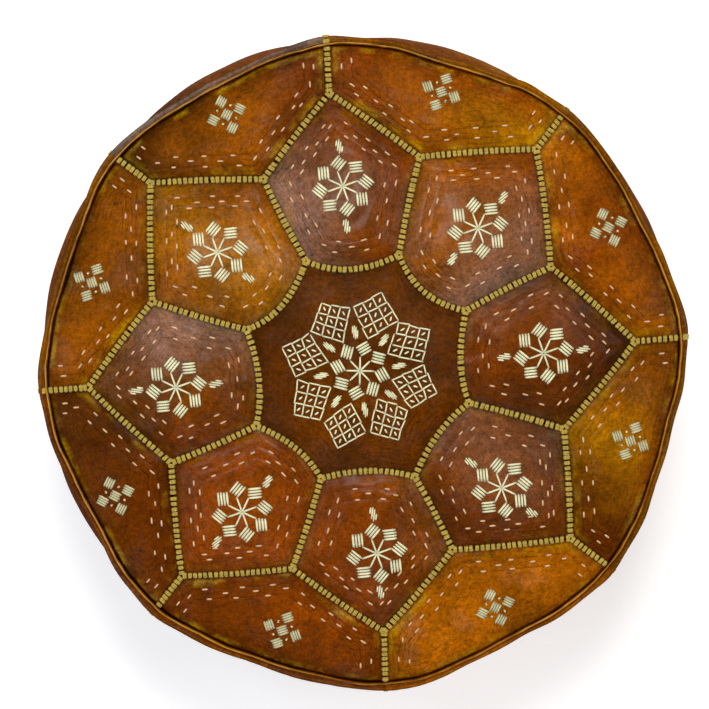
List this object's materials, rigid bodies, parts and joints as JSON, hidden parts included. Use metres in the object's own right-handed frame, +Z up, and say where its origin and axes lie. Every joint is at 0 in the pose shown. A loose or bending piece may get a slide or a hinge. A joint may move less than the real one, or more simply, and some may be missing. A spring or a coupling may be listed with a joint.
{
  "type": "leather pouf",
  "caption": "Round stuffed leather pouf with a pieced, hand-stitched star top, panelled sides and a zipped base.",
  "frame": {"origin": "centre of the base on the floor it stands on", "axes": "+Z up through the embroidered top; +X along the base zip, towards its closed end"},
  "size_m": [0.5383, 0.5382, 0.3],
  "materials": {
    "star_leather": "dark brown hand-dyed leather, soft sheen",
    "petal_leather": "mottled red-brown hand-dyed leather, soft sheen",
    "crown_leather": "mottled golden-tan hand-dyed leather, soft sheen",
    "side_leather": "mottled tan hand-dyed leather, soft sheen",
    "base_leather": "plain tan leather, matt",
    "piping_leather": "tan leather over a cord, worn bright along the edge",
    "seam_thread": "thick mustard silk thread, satin",
    "liner_cotton": "plain undyed cotton",
    "filling_fibre": "loose cotton and polyester wadding",
    "zip_tape": "woven brown tape",
    "zip_brass": "brushed brass"
  },
  "bodies": {
    "pouf": {"star_panel": "star_leather", "petal_panel_1": "petal_leather", "petal_panel_2": "petal_leather", "petal_panel_3": "petal_leather", "petal_panel_4": "petal_leather", "petal_panel_5": "petal_leather", "petal_panel_6": "petal_leather", "petal_panel_7": "petal_leather", "petal_panel_8": "petal_leather", "crown_panel_1": "crown_leather", "crown_panel_2": "crown_leather", "crown_panel_3": "crown_leather", "crown_panel_4": "crown_leather", "crown_panel_5": "crown_leather", "crown_panel_6": "crown_leather", "crown_panel_7": "crown_leather", "crown_panel_8": "crown_leather", "side_panel_1": "side_leather", "side_panel_2": "side_leather", "side_panel_3": "side_leather", "side_panel_4": "side_leather", "side_panel_5": "side_leather", "side_panel_6": "side_leather", "side_panel_7": "side_leather", "side_panel_8": "side_leather", "top_welt": "piping_leather", "base_welt": "piping_leather", "base_panel_left": "base_leather", "base_panel_right": "base_leather", "star_seam": "seam_thread", "crown_seam": "seam_thread", "petal_seam_1": "seam_thread", "petal_seam_2": "seam_thread", "petal_seam_3": "seam_thread", "petal_seam_4": "seam_thread", "petal_seam_5": "seam_thread", "petal_seam_6": "seam_thread", "petal_seam_7": "seam_thread", "petal_seam_8": "seam_thread", "side_seam_1": "seam_thread", "side_seam_2": "seam_thread", "side_seam_3": "seam_thread", "side_seam_4": "seam_thread", "side_seam_5": "seam_thread", "side_seam_6": "seam_thread", "side_seam_7": "seam_thread", "side_seam_8": "seam_thread", "liner_bag": "liner_cotton", "filling": "filling_fibre", "zip_tape_left": "zip_tape", "zip_tape_right": "zip_tape", "zip_teeth_left": "zip_brass", "zip_teeth_right": "zip_brass", "zip_top_stop": "zip_brass", "zip_bottom_stop": "zip_brass"},
    "slider": {"zip_slider": "zip_brass"},
    "pull": {"zip_pull": "zip_brass"}
  },
  "joints": [
    {"name": "zip_slide", "type": "slide", "parent": "pouf", "child": "slider", "axis": [-1, 0, 0], "range_m": [0, 0.28]},
    {"name": "pull_hinge", "type": "hinge", "parent": "slider", "child": "pull", "pos_m": [0.14, 0, 0.0066], "axis": [0, -1, 0], "range_deg": [0, 170]}
  ]
}
